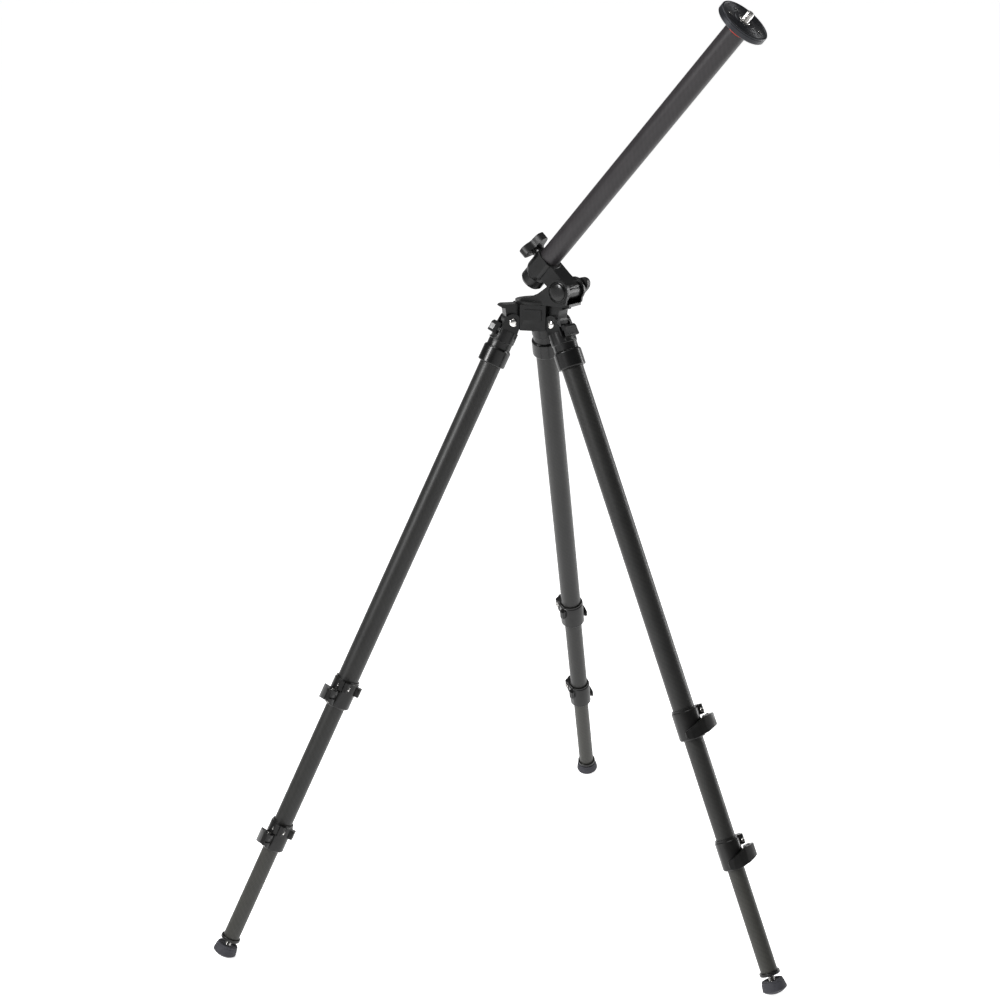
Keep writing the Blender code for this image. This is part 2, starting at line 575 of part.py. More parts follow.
def stand(root):
    """Leans the hub so that the three feet share the floor, and centres the object on it."""
    a, b, c = (foot_ball(leg) for leg in ("a", "b", "c"))
    normal = (b - a).cross(c - a).normalized()
    if normal.z < 0:
        normal = -normal
    lean = normal.rotation_difference(Vector((0, 0, 1))).to_matrix().to_4x4()
    lift = FOOT_BALL - (lean @ a).z
    root.matrix_local = Matrix.Translation((0, 0, lift)) @ lean
    bpy.context.view_layer.update()
    points = [obj.matrix_world @ vertex.co for obj in bpy.data.objects if obj.type == "MESH"
              for vertex in obj.data.vertices]
    x = (min(p.x for p in points) + max(p.x for p in points)) / 2
    y = (min(p.y for p in points) + max(p.y for p in points)) / 2
    z = min(p.z for p in points)
    root.matrix_local = Matrix.Translation((-x, -y, lift - z)) @ lean
    bpy.context.view_layer.update()


def main():
    for obj in list(bpy.data.objects):
        bpy.data.objects.remove(obj, do_unlink=True)
    root = frame("hub_frame", None)
    hub_casting(root)
    for leg in ("a", "b", "c"):
        pivot_bolt(leg, root)
    pan = frame("pan_frame", root, about_z(PAN_AZIMUTH))
    yoke(pan)
    hinge = frame("hinge_frame", pan, Matrix.Translation((HINGE_OUT, 0, HINGE_Z)))
    tilt_axle(hinge)
    tilt_cap(hinge)
    lean = Matrix.Rotation(math.radians(90 - COLUMN_ELEVATION), 4, "Y")
    tilt = frame("tilt_frame", hinge, lean)
    column_clamp(tilt)
    column_parts(frame("column_frame", tilt, Matrix.Translation((-HINGE_OUT, 0, 0))))
    side = Matrix.Rotation(math.radians(-90), 4, "Y")
    at = Matrix.Translation((-HINGE_OUT - 18.6 * MM, 0, KNOB_Z))
    wing_knob("column_knob", lobed(3, 11 * MM, 21 * MM), 8 * MM, 10 * MM,
              frame("column_knob_frame", tilt, at @ side), stem=3.0 * MM)
    far = Matrix.Rotation(math.radians(-90), 4, "X")
    at = Matrix.Translation((0, CHEEK_OUTER + 0.4 * MM, 0))
    wing_knob("tilt_knob", lobed(2, 10.8 * MM, 19.3 * MM, -36, power=2.0), 11.4 * MM, 6.5 * MM,
              frame("tilt_knob_frame", hinge, at @ far), blind=5.4 * MM)
    for leg in ("a", "b", "c"):
        leg_assembly(leg, root)
    stand(root)


main()
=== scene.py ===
# %% [markdown]
# A camera tripod on a pale floor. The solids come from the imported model, which says where every
# piece is and how it moves. This script gives each piece its finish: rounded edges, threads,
# grooves, knurls and screws as real geometry, and materials built from nodes.

# %% Load the frame
import json
import math

import bmesh
import bpy
from mathutils import Matrix, Vector

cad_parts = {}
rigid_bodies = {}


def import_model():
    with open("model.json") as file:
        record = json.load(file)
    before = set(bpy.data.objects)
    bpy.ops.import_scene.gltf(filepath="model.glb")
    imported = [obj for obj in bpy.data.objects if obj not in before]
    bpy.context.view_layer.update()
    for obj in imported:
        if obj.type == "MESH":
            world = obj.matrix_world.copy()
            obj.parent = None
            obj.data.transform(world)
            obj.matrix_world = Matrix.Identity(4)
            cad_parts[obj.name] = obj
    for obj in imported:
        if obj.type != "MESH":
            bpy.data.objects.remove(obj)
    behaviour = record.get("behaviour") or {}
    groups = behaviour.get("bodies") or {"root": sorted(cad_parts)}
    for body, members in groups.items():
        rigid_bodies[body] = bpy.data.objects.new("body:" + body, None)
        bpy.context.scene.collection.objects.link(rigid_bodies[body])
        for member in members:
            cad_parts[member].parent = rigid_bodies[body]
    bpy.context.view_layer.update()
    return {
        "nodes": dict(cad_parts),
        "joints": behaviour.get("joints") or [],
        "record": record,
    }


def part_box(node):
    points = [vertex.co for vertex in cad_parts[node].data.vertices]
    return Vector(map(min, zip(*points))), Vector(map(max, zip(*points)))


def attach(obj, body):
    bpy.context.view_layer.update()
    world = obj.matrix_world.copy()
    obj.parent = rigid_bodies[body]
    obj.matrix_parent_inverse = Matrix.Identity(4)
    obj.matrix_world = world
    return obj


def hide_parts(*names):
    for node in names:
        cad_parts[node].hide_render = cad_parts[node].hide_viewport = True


for leftover in list(bpy.data.objects):
    bpy.data.objects.remove(leftover, do_unlink=True)
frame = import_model()

MM = 0.001
LEGS = ("a", "b", "c")

# %% [markdown]
# A tripod is made of straight tubes that all point different ways, so working in world
# coordinates would be painful. Each joint of the record already knows its own axis. From two of
# them a local frame follows: Z back up the leg, Y along the pivot bolt, X outwards.

# %% Local frames from the joints
JOINTS = {joint["name"]: joint for joint in frame["joints"]}


def frame_at(origin, z_axis, y_axis):
    """Matrix whose Z and Y point along the two axes."""
    z = Vector(z_axis).normalized()
    x = Vector(y_axis).cross(z).normalized()
    turn = Matrix((x, z.cross(x), z)).transposed().to_4x4()
    return Matrix.Translation(origin) @ turn


def leg_frame(leg):
    swing = JOINTS["leg_swing_" + leg]
    down = JOINTS["middle_slide_" + leg]["axis"]
    return frame_at(swing["pos_m"], -Vector(down), -Vector(swing["axis"]))


def lever_frame(label, leg):
    flip = JOINTS["%s_lever_flip_%s" % (label, leg)]
    return frame_at(flip["pos_m"], flip["axis"], leg_frame(leg).col[0].xyz)


HINGE = frame_at(JOINTS["column_tilt"]["pos_m"], JOINTS["column_slide"]["axis"],
                 JOINTS["column_tilt"]["axis"])
HUB = frame_at(JOINTS["pan_turn"]["pos_m"], JOINTS["pan_turn"]["axis"], (0, 1, 0))
PAN = frame_at(JOINTS["column_tilt"]["pos_m"], JOINTS["pan_turn"]["axis"],
               JOINTS["column_tilt"]["axis"])


def centre_of(node):
    low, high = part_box(node)
    return (low + high) / 2


COLUMN = frame_at(centre_of("column_tube"), JOINTS["column_slide"]["axis"],
                  JOINTS["column_tilt"]["axis"])


def span(node, place):
    """Lowest Z, highest Z and widest radius of a solid, in metres, in a local frame."""
    inverse = place.inverted()
    points = [inverse @ v.co for v in frame["nodes"][node].data.vertices]
    heights = [p.z for p in points]
    return min(heights), max(heights), max(p.xy.length for p in points)


print("frames for the hub, the hinge, the column and", len(LEGS), "legs")

# %% [markdown]
# The record says which body and which material slot each solid belongs to. Every piece made below
# asks for its body by the solid's name, so a piece can never ride on the wrong body.

# %% Bodies by solid
BODY_OF = {node: body for body, nodes in frame["record"]["behaviour"]["bodies"].items()
           for node in nodes}


def fasten(piece, node, finish, replaces=False):
    """Gives the piece its finish and lets it ride with the body of a solid."""
    piece.data.materials.clear()
    piece.data.materials.append(finish)
    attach(piece, BODY_OF[node])
    if replaces:
        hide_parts(node)
    return piece


# %% [markdown]
# Cast and turned parts never have knife edges. A small rounding on each edge is what catches the
# light and makes a black part readable. The solids are made of triangles, so first the triangles
# of each flat face are merged; only then does a Bevel modifier see the true edges.

# %% Softened copies of the solids
def softened(node, place, width=0.45 * MM, segments=2, crease=28.0, flat=1.5):
    """Copy of a solid in its own local frame, with rounded edges."""
    shape = bmesh.new()
    shape.from_mesh(frame["nodes"][node].data)
    shape.transform(place.inverted())
    bmesh.ops.remove_doubles(shape, verts=shape.verts, dist=1e-6)
    bmesh.ops.dissolve_limit(shape, angle_limit=math.radians(flat), verts=shape.verts,
                             edges=shape.edges)
    return as_object(shape, node + "_finished", place, width, segments, crease)


def as_object(shape, name, place, width=0.0, segments=2, crease=28.0):
    """Turns a bmesh into a smooth-shaded object, with rounded edges if a width is given."""
    mesh = bpy.data.meshes.new(name)
    bmesh.ops.recalc_face_normals(shape, faces=shape.faces)
    shape.to_mesh(mesh)
    shape.free()
    mesh.shade_smooth()
    mesh.set_sharp_from_angle(angle=math.radians(crease))
    piece = bpy.data.objects.new(name, mesh)
    bpy.context.scene.collection.objects.link(piece)
    piece.matrix_world = place
    if width:
        edges = piece.modifiers.new("rounded_edges", "BEVEL")
        edges.width = width
        edges.segments = segments
        edges.limit_method = "ANGLE"
        edges.angle_limit = math.radians(crease)
        edges.use_clamp_overlap = True
        edges.miter_outer = "MITER_ARC"
        edges.harden_normals = True
    return piece


# %% [markdown]
# Most small fittings are turned on a lathe: a profile of radius and height swept round an axis.
# Where the profile starts and ends on the axis the form closes with a point; otherwise its two
# ends are joined, which makes a ring.

# %% Turned forms
def turned(name, profile, place, sides=64, crease=30.0):
    """Solid of revolution about Z, from a closed profile of (radius, height) points."""
    shape = bmesh.new()
    rings = []
    for radius, height in profile:
        if radius < 1e-7:
            rings.append([shape.verts.new((0, 0, height))])
            continue
        angles = (2 * math.pi * k / sides for k in range(sides))
        rings.append([shape.verts.new((radius * math.cos(a), radius * math.sin(a), height))
                      for a in angles])
    pairs = list(zip(rings, rings[1:]))
    if len(rings[0]) > 1 and len(rings[-1]) > 1:
        pairs.append((rings[-1], rings[0]))
    for near, far in pairs:
        for k in range(sides):
            corners = [near[k % len(near)], near[(k + 1) % len(near)],
                       far[(k + 1) % len(far)], far[k % len(far)]]
            unique = list(dict.fromkeys(corners))
            if len(unique) > 2:
                shape.faces.new(unique)
    return as_object(shape, name, place, crease=crease)


def bored_with_key(name, radius, height, key, depth, place):
    """Round screw head with a hexagon socket sunk into it."""
    sides = 24
    shape = bmesh.new()

    def ring(size, level, corners=False):
        points = []
        for k in range(sides):
            a = 2 * math.pi * k / sides
            reach = size
            if corners:
                reach = size / math.cos((a % (math.pi / 3)) - math.pi / 6)
            points.append(shape.verts.new((reach * math.cos(a), reach * math.sin(a), level)))
        return points

    edge = 0.12 * radius
    rings = [ring(radius, 0), ring(radius, height - edge), ring(radius - edge, height),
             ring(key * 1.12, height, True), ring(key, height - 0.3 * edge, True),
             ring(key, height - depth, True)]
    for near, far in zip(rings, rings[1:]):
        for k in range(sides):
            n = (k + 1) % sides
            shape.faces.new((near[k], near[n], far[n], far[k]))
    shape.faces.new(reversed(rings[0]))
    shape.faces.new(rings[-1])
    return as_object(shape, name, place, crease=35)


# %% [markdown]
# A screw thread is a surface whose radius depends on both height and angle: a triangle wave that
# climbs one pitch per turn. Building it as rings of points gives true crests and roots, which
# catch the light in fine lines as a real thread does.

# %% Threads
def threaded(name, radius, pitch, low, high, place, depth=0.6, sides=32, steps=6, tip=0.0):
    """Threaded rod about Z; tip is the height of the chamfer at its upper end."""
    shape = bmesh.new()
    rows = max(8, int((high - low) / pitch * steps))
    rings = []
    for i in range(rows + 1):
        z = low + (high - low) * i / rows
        ring = []
        for k in range(sides):
            wave = abs(((z - low) / pitch - k / sides) % 1.0 - 0.5) * 2
            r = radius - depth * pitch * (1 - wave)
            r -= max(0.0, z - (high - tip)) * 0.9 if tip else 0.0
            a = 2 * math.pi * k / sides
            ring.append(shape.verts.new((r * math.cos(a), r * math.sin(a), z)))
        rings.append(ring)
    for near, far in zip(rings, rings[1:]):
        for k in range(sides):
            n = (k + 1) % sides
            shape.faces.new((near[k], near[n], far[n], far[k]))
    shape.faces.new(reversed(rings[0]))
    shape.faces.new(rings[-1])
    return as_object(shape, name, place, crease=60)


# %% [markdown]
# Shader networks read best as formulas. This class wraps one output of a node and overloads the
# arithmetic operators, so that an expression such as 1 - mask * 0.4 adds its own Math nodes.

# %% Sockets as values
class Value:
    """A number that varies over a surface, as the output socket of a node."""

    def __init__(self, finish, socket):
        self.finish = finish
        self.socket = socket

    def math(self, operation, *values):
        return self.finish.node("Math", {"operation": operation}, dict(enumerate(values)))

    def __add__(self, other):
        return self.math("ADD", self, other)

    def __radd__(self, other):
        return self.math("ADD", other, self)

    def __sub__(self, other):
        return self.math("SUBTRACT", self, other)

    def __rsub__(self, other):
        return self.math("SUBTRACT", other, self)

    def __mul__(self, other):
        return self.math("MULTIPLY", self, other)

    def __mod__(self, other):
        return self.math("FLOORED_MODULO", self, other)

    def __lt__(self, other):
        return self.math("LESS_THAN", self, other)

    def floor(self):
        return self.math("FLOOR", self)

    def clamped(self):
        return self.finish.node("Math", {"operation": "ADD", "use_clamp": True},
                                {0: self, 1: 0.0})


class Finish:
    """A material in the making, with one method that adds any node."""

    def __init__(self, name, colour, roughness, metallic=0.0, **constants):
        self.material = bpy.data.materials.new(name)
        self.material.use_nodes = True
        self.tree = self.material.node_tree
        self.shader = self.tree.nodes["Principled BSDF"]
        self.material.diffuse_color = (*colour, 1)
        self.feed("Base Color", (*colour, 1))
        self.feed("Roughness", roughness)
        self.feed("Metallic", metallic)
        for socket, value in constants.items():
            self.feed(socket.replace("_", " "), value)

    def feed(self, socket, value, node=None):
        """Sets a socket of the shader, or links a varying value to it."""
        target = (node or self.shader).inputs[socket]
        if isinstance(value, Value):
            self.tree.links.new(value.socket, target)
        else:
            target.default_value = value

    def node(self, kind, settings=None, sockets=None, output=0):
        """Adds a node: its settings first, then the values or links of its sockets."""
        made = self.tree.nodes.new("ShaderNode" + kind)
        for setting, value in (settings or {}).items():
            if setting == "stops":
                for stop, (place, colour) in zip(made.color_ramp.elements, value):
                    stop.position = place
                    stop.color = colour
            else:
                setattr(made, setting, value)
        for socket, value in (sockets or {}).items():
            self.feed(socket, value, made)
        return Value(self, made.outputs[output])

    def where(self):
        """Object coordinates as three values."""
        place = self.node("TexCoord", output=3)
        return [self.node("SeparateXYZ", None, {0: place}, k) for k in range(3)]

    def noise(self, scale, detail=3.0, roughness=0.5):
        """Uneven grain over the surface, finer as the scale rises."""
        place = self.node("TexCoord", output=3)
        return self.node("TexNoise", None, {"Vector": place, "Scale": scale, "Detail": detail,
                                            "Roughness": roughness})

    def blend(self, factor, first, second):
        """Colour between two colours or links."""
        return self.node("Mix", {"data_type": "RGBA"}, {0: factor, 6: first, 7: second}, 2)

    def bump(self, height, depth, strength=1.0):
        """Raises the surface by a height map, at most as far as depth."""
        self.feed("Normal", self.node("Bump", None, {"Height": height, "Distance": depth,
                                                     "Strength": strength}))


def grey(level, warmth=0.0):
    """Linear grey that leans to red and away from blue as warmth rises."""
    return (level * (1 + warmth), level, level * (1 - warmth), 1)


print("shader helpers ready")

# %% [markdown]
# The tubes are rolled from woven carbon cloth under a matt lacquer. A two-by-two twill passes
# over two tows and under two, one step further in each row, which gives its diagonal ribs. Here
# the angle round the tube and the height along it are counted in tows, and a modulo decides
# which tow lies on top. The count round the tube is a multiple of four, so the weave closes.

# %% Carbon weave
TOW = 1.9 * MM
FAR_ALONG = 500.0  # keeps the counts of tows above zero on every tube


def carbon(name, radius, dark, light, tint, roughness):
    """Woven tube finish, from a dark to a light level of one tint."""
    low = tuple(dark * t for t in tint) + (1,)
    high = tuple(light * t for t in tint) + (1,)
    finish = Finish(name, high[:3], roughness, Specular_IOR_Level=0.27, Coat_Roughness=0.28)
    x, y, z = finish.where()
    around = 4 * max(4, round(2 * math.pi * radius / TOW / 4))
    turn = finish.node("Math", {"operation": "ARCTAN2"}, {0: y, 1: x})
    u = turn * (around / (2 * math.pi)) + FAR_ALONG
    v = z * (1 / TOW) + FAR_ALONG
    over = ((u.floor() + v.floor()) % 4) < 2
    across = (u % 1) * 2 - 1
    along = (v % 1) * 2 - 1
    warp = 1 - across * across
    weft = 1 - along * along
    height = over * warp + (1 - over) * weft
    patches = finish.noise(38.0, 4.0, 0.6)
    fibres = finish.noise(1400.0, 2.0)
    shade = (height * 0.30 + over * 0.10 + fibres * 0.25 + patches * 0.35).clamped()
    finish.feed("Base Color", finish.blend(shade, low, high))
    finish.feed("Roughness", roughness + patches * 0.1)
    finish.feed("Coat Weight", 0.06)
    finish.bump(height, 0.04 * MM, 0.35)
    return finish.material


CARBON_UPPER = carbon("carbon_upper", 14 * MM, 0.003, 0.020, (1.0, 1.0, 0.97), 0.36)
CARBON_MIDDLE = carbon("carbon_middle", 12.4 * MM, 0.004, 0.022, (1.0, 1.0, 0.94), 0.38)
CARBON_LOWER = carbon("carbon_lower", 10.85 * MM, 0.010, 0.040, (1.03, 1.02, 0.90), 0.42)
CARBON_COLUMN = carbon("carbon_column", 13.5 * MM, 0.004, 0.026, (1.06, 0.95, 1.03), 0.34)
print("carbon tows", round(TOW / MM, 2), "mm wide")

# %% [markdown]
# The hub, the yoke and the locks are die castings under satin black paint. Paint over a casting
# has a fine orange peel and slightly uneven gloss, and handling polishes patches of it.

# %% Black finishes
def painted(name, level, roughness, peel=900.0, depth=0.03 * MM, coat=0.0, warmth=-0.03):
    """Paint of one grey level, with orange peel of a given scale and depth."""
    finish = Finish(name, grey(level, warmth)[:3], roughness, Specular_IOR_Level=0.28,
                    Coat_Weight=coat, Coat_Roughness=0.1)
    patches = finish.noise(60.0, 4.0, 0.6)
    skin = finish.noise(peel, 3.0, 0.55)
    worn = finish.node("ValToRGB", {"stops": [(0.42, (0, 0, 0, 1)), (0.75, (1, 1, 1, 1))]},
                       {0: patches})
    finish.feed("Base Color", finish.blend(worn, grey(level * 0.8, warmth),
                                           grey(level * 1.5, warmth)))
    finish.feed("Roughness", roughness - 0.06 + patches * 0.12 + skin * 0.05)
    finish.bump(skin, depth, 0.45)
    return finish.material


CASTING = painted("satin_black_paint", 0.004, 0.30, coat=0.06)
LOCK_BLACK = painted("lock_black", 0.005, 0.30, peel=1100.0, coat=0.06, warmth=0.02)
GLOSS = painted("gloss_black", 0.003, 0.26, peel=500.0, depth=0.015 * MM, coat=0.12)
TAB_BLACK = painted("tab_black", 0.004, 0.46, peel=900.0, depth=0.02 * MM)
KNOB = painted("knob_black", 0.005, 0.36, peel=1300.0, depth=0.04 * MM)
TAB_GREY = painted("tab_grey", 0.30, 0.42, peel=1500.0, depth=0.05 * MM, warmth=0.0)

# %% [markdown]
# The head plate is aluminium, turned and then anodised black. The tool leaves rings that are far
# finer than the grooves cut on purpose, so those rings are a ripple of the surface normal with
# the distance from the axis, and the grooves are geometry.

# %% Turned and bright metals
def anodised(name, colour, roughness, ripple):
    """Turned and dyed metal, with tool rings one ripple apart."""
    finish = Finish(name, colour, roughness, 0.5)
    x, y, _ = finish.where()
    reach = finish.node("Math", {"operation": "SQRT"}, {0: x * x + y * y})
    rings = finish.node("Math", {"operation": "SINE"}, {0: reach * (2 * math.pi / ripple)})
    patches = finish.noise(90.0)
    low = tuple(0.8 * c for c in colour) + (1,)
    high = tuple(1.35 * c for c in colour) + (1,)
    finish.feed("Base Color", finish.blend(patches, low, high))
    finish.feed("Roughness", roughness + patches * 0.12 - 0.05)
    finish.bump(rings, 0.004 * MM, 0.25)
    return finish.material


def bright(name, level, roughness):
    """Bare polished metal with light scuffs."""
    clean = (level, level * 0.985, level * 0.96)
    scuffed = (level * 0.82, level * 0.8, level * 0.77)
    finish = Finish(name, clean, roughness, 1.0)
    scuffs = finish.noise(420.0, 5.0, 0.7)
    finish.feed("Roughness", roughness + scuffs * 0.14)
    finish.feed("Base Color", finish.blend(scuffs, (*scuffed, 1), (*clean, 1)))
    finish.bump(scuffs, 0.01 * MM, 0.25)
    return finish.material


PLATE = anodised("anodised_black", (0.012, 0.013, 0.016), 0.38, 0.35 * MM)
ACCENT = anodised("anodised_red", (0.36, 0.030, 0.018), 0.34, 0.5 * MM)
CHROME = bright("chrome", 0.80, 0.08)
STEEL = bright("plain_steel", 0.62, 0.18)


def moulded_rubber():
    """Dull black rubber with a fine grain and a little dust."""
    finish = Finish("moulded_rubber", (0.020, 0.020, 0.026), 0.7, Specular_IOR_Level=0.35)
    grain = finish.noise(1600.0, 4.0, 0.7)
    dust = finish.noise(110.0, 5.0, 0.65)
    finish.feed("Base Color", finish.blend(dust, (0.014, 0.014, 0.018, 1),
                                           (0.042, 0.042, 0.050, 1)))
    finish.feed("Roughness", 0.62 + grain * 0.2)
    finish.bump(grain, 0.06 * MM, 0.5)
    return finish.material


RUBBER = moulded_rubber()
print(len(bpy.data.materials), "materials")

# %% [markdown]
# The tubes are already round and true, so each keeps the solid's shape. Its copy lives in the
# frame of its leg, because the weave is counted round that axis.

# %% Tubes
for leg in LEGS:
    for section, weave in (("upper", CARBON_UPPER), ("middle", CARBON_MIDDLE),
                           ("lower", CARBON_LOWER)):
        node = "%s_tube_%s" % (section, leg)
        tube = softened(node, leg_frame(leg), 0.3 * MM, 2, 50, 0.2)
        fasten(tube, node, weave, True)
fasten(softened("column_tube", COLUMN, 0.3 * MM, 2, 50, 0.2), "column_tube", CARBON_COLUMN, True)

# %% [markdown]
# The castings follow: the hub that the legs swing in, the turntable yoke, the clamp round the
# column, and the forked head of each leg.

# %% Castings
CASTINGS = (("hub_casting", HUB, 1.1), ("yoke", PAN, 1.1), ("column_clamp", HINGE, 1.2),
            ("column_stop", COLUMN, 0.5))
for node, place, width in CASTINGS:
    fasten(softened(node, place, width * MM, 3), node, CASTING, True)
for leg in LEGS:
    node = "leg_head_" + leg
    fasten(softened(node, leg_frame(leg), 0.9 * MM, 3), node, CASTING, True)
    node = "leg_collar_" + leg
    fasten(softened(node, leg_frame(leg), 0.5 * MM, 3), node, GLOSS, True)
fasten(softened("column_knob", HINGE, 0.9 * MM, 3), "column_knob", KNOB, True)
fasten(softened("tilt_knob", PAN, 0.9 * MM, 3), "tilt_knob", KNOB, True)
fasten(softened("tilt_axle", PAN, 0.3 * MM), "tilt_axle", STEEL, True)

# %% [markdown]
# The near end of the hinge is closed by a domed cap with a bright line round its rim. It is a
# turned form with a shallow groove, so the line is the groove's edge catching the light.

# %% Hinge cap
def facing(place, outward):
    """Frame at the same origin whose Z points along a local direction."""
    z = place.to_3x3() @ Vector(outward)
    side = place.to_3x3() @ Vector((0, 0, 1))
    return frame_at(place.translation, z, side)


NEAR = facing(PAN, (0, -1, 0))
cap_low, cap_high, cap_radius = span("tilt_cap", NEAR)
rise = cap_high - cap_low
GROOVE = ((0.5, 0.42), (1.0, 0.44), (1.2, 0.34), (1.7, 0.34), (1.9, 0.50))
cap_profile = [(0, cap_low), (cap_radius, cap_low), (cap_radius, cap_low + 0.30 * rise)]
for inset, share in GROOVE:
    cap_profile.append((cap_radius - inset * MM, cap_low + share * rise))
dome = cap_radius - 1.9 * MM
DOME_STEPS = 8
for k in range(1, DOME_STEPS + 1):
    a = math.pi / 2 * k / DOME_STEPS
    cap_profile.append((dome * math.cos(a), cap_low + rise * (0.50 + 0.48 * math.sin(a))))
cap = turned("tilt_cap_finished", cap_profile, NEAR, 72, crease=40)
fasten(cap, "tilt_cap", GLOSS, True)
print("hinge cap", round(2000 * cap_radius, 1), "mm across")

# %% [markdown]
# Each leg turns on a bolt with a bright domed head at both ends. A hexagon key fits the head, so
# the dome has a hexagon socket, made as rings of points that change from round to six-sided.

# %% Pivot bolts
def domed_head(name, radius, rise, key, depth, place):
    """Domed screw head about Z with a hexagon socket."""
    sides = 36
    shape = bmesh.new()
    rings = []
    levels = [(radius, 0.0), (radius, 0.18 * rise)]
    for k in range(1, 7):
        r = radius + (1.25 * key - radius) * k / 6
        levels.append((r, 0.18 * rise + 0.82 * rise * math.sqrt(1 - (r / radius) ** 2)))
    top = levels[-1][1]
    for r, z in levels:
        rings.append([(r, z, False)] * sides)
    rings.append([(key, top - 0.1 * rise, True)] * sides)
    rings.append([(key, top - depth, True)] * sides)
    made = []
    for ring in rings:
        row = []
        for k, (r, z, six) in enumerate(ring):
            a = 2 * math.pi * k / sides
            reach = r / math.cos((a % (math.pi / 3)) - math.pi / 6) if six else r
            row.append(shape.verts.new((reach * math.cos(a), reach * math.sin(a), z)))
        made.append(row)
    for near, far in zip(made, made[1:]):
        for k in range(sides):
            n = (k + 1) % sides
            shape.faces.new((near[k], near[n], far[n], far[k]))
    shape.faces.new(reversed(made[0]))
    shape.faces.new(made[-1])
    return as_object(shape, name, place, crease=40)


HEAD_RADIUS = 5.35 * MM
HEAD_RISE = 2.4 * MM
HEAD_SINK = 2.45 * MM  # the flat under the dome lies this far below the solid's end

for leg in LEGS:
    node = "pivot_bolt_" + leg
    fasten(softened(node, facing(leg_frame(leg), (0, 1, 0)), 0.2 * MM, 2, 35), node, CHROME, True)
    for end, direction in (("near", -1), ("far", 1)):
        place = facing(leg_frame(leg), (0, direction, 0))
        high = span(node, place)[1]
        head = domed_head("%s_%s_head" % (node, end), HEAD_RADIUS, HEAD_RISE, 2.0 * MM,
                          1.8 * MM, place @ Matrix.Translation((0, 0, high - HEAD_SINK)))
        fasten(head, node, CHROME)

# %% [markdown]
# The head plate takes the weight of whatever is screwed on. Its face is cut with fine concentric
# grooves between a raised rim and a raised boss, so that a head can't slip. Three set screws come
# up through it and lock the head in place.

# %% Head plate
plate_low, plate_high, plate_radius = span("head_plate", COLUMN)
face = plate_high - 0.6 * MM
STUD_RADIUS = 4.76 * MM
STUD_PITCH = 25.4 / 16 * MM


def grooves(outer, inner, pitch, depth):
    """Profile points of V-shaped grooves from an outer to an inner radius."""
    count = int((outer - inner) / pitch)
    points = []
    for k in range(count):
        r = outer - k * pitch
        points += [(r, face), (r - 0.5 * pitch, face - depth)]
    return points + [(outer - count * pitch, face)]


RIM = ((0, 2.6), (0.5, 2.3), (0.5, 1.9), (0, 1.6), (0, 0.7), (0.6, 0), (2.4, 0))
plate_profile = [(plate_radius - 1.2 * MM, plate_low), (plate_radius, plate_low + 1.2 * MM)]
for inset, drop in RIM:
    plate_profile.append((plate_radius - inset * MM, plate_high - drop * MM))
plate_profile.append((plate_radius - 3.0 * MM, face))
plate_profile += grooves(plate_radius - 3.4 * MM, 14.4 * MM, 1.15 * MM, 0.22 * MM)
plate_profile += [(14 * MM, face), (13.4 * MM, plate_high), (9 * MM, plate_high),
                  (8.6 * MM, plate_high - 1.2 * MM), (5.2 * MM, plate_high - 1.2 * MM),
                  (5.2 * MM, plate_low)]
plate = turned("head_plate_finished", plate_profile, COLUMN, 128, crease=24)
fasten(plate, "head_plate", PLATE, True)
ring = softened("accent_ring", COLUMN, 0.35 * MM, 3)
fasten(ring, "accent_ring", ACCENT, True)

for k in (1, 2, 3):
    node = "plate_screw_%d" % k
    place = frame_at(centre_of(node), COLUMN.col[2].xyz, COLUMN.col[1].xyz)
    below_face = face - 0.2 * MM - (COLUMN.inverted() @ place.translation).z
    seat = turned(node + "_seat", [(3.4 * MM, 0), (3.4 * MM, 0.35 * MM), (3.1 * MM, 0.60 * MM),
                                   (2.5 * MM, 0.60 * MM), (2.5 * MM, 0)],
                  place @ Matrix.Translation((0, 0, below_face)), 32)
    fasten(seat, "head_plate", PLATE)
    low, high, radius = span(node, place)
    screw = bored_with_key(node + "_finished", radius, high - low + 0.7 * MM, 1.1 * MM, 2.0 * MM,
                           place @ Matrix.Translation((0, 0, low)))
    fasten(screw, node, STEEL, True)

_, stud_high, _ = span("head_stud", COLUMN)
stud = threaded("head_stud_finished", STUD_RADIUS, STUD_PITCH, plate_low - 3 * MM, stud_high,
                COLUMN, 0.55, 40, 8, 1.2 * MM)
fasten(stud, "head_stud", CHROME, True)
washer = turned("stud_collar", [(7.2 * MM, 0), (7.2 * MM, 0.8 * MM), (6.6 * MM, 1.2 * MM),
                                (5.0 * MM, 1.2 * MM), (5.0 * MM, 0)],
                COLUMN @ Matrix.Translation((0, 0, plate_high - 1.1 * MM)), 48)
fasten(washer, "head_stud", STEEL)
print("head plate", round(2000 * plate_radius, 1), "mm across")

# %% [markdown]
# A flip lock is a split collar that a cam lever squeezes shut. One screw crosses the split at the
# boss, and the lever turns on a pin whose two ends show. Both are bright steel.

# %% Flip locks
SPLIT_TURN = 25.0  # degrees from the lever's pin to the split
UPPER_OUTER = 17 * MM
LOCKS = (("upper_lock", "upper", UPPER_OUTER), ("lower_lock", "lower", 15.5 * MM))
BOSS_REACH = 19.6 * MM
BOSS_DROP = 8.5 * MM
SCREW_SHIFT = 7.0 * MM  # from the middle of the split to the underside of a screw head
PIN_ENDS = (("top", -14.9 * MM, 0), ("foot", -32.9 * MM, 180))


def across(place, angle, distance, height, side):
    """Frame at an angle, distance and height in a place, with Z one way round the tube."""
    turn = Matrix.Rotation(math.radians(angle), 4, "Z")
    spot = place @ turn
    origin = spot @ Vector((distance, 0, height))
    return frame_at(origin, (spot.to_3x3() @ Vector((0, side, 0))), spot.col[2].xyz)


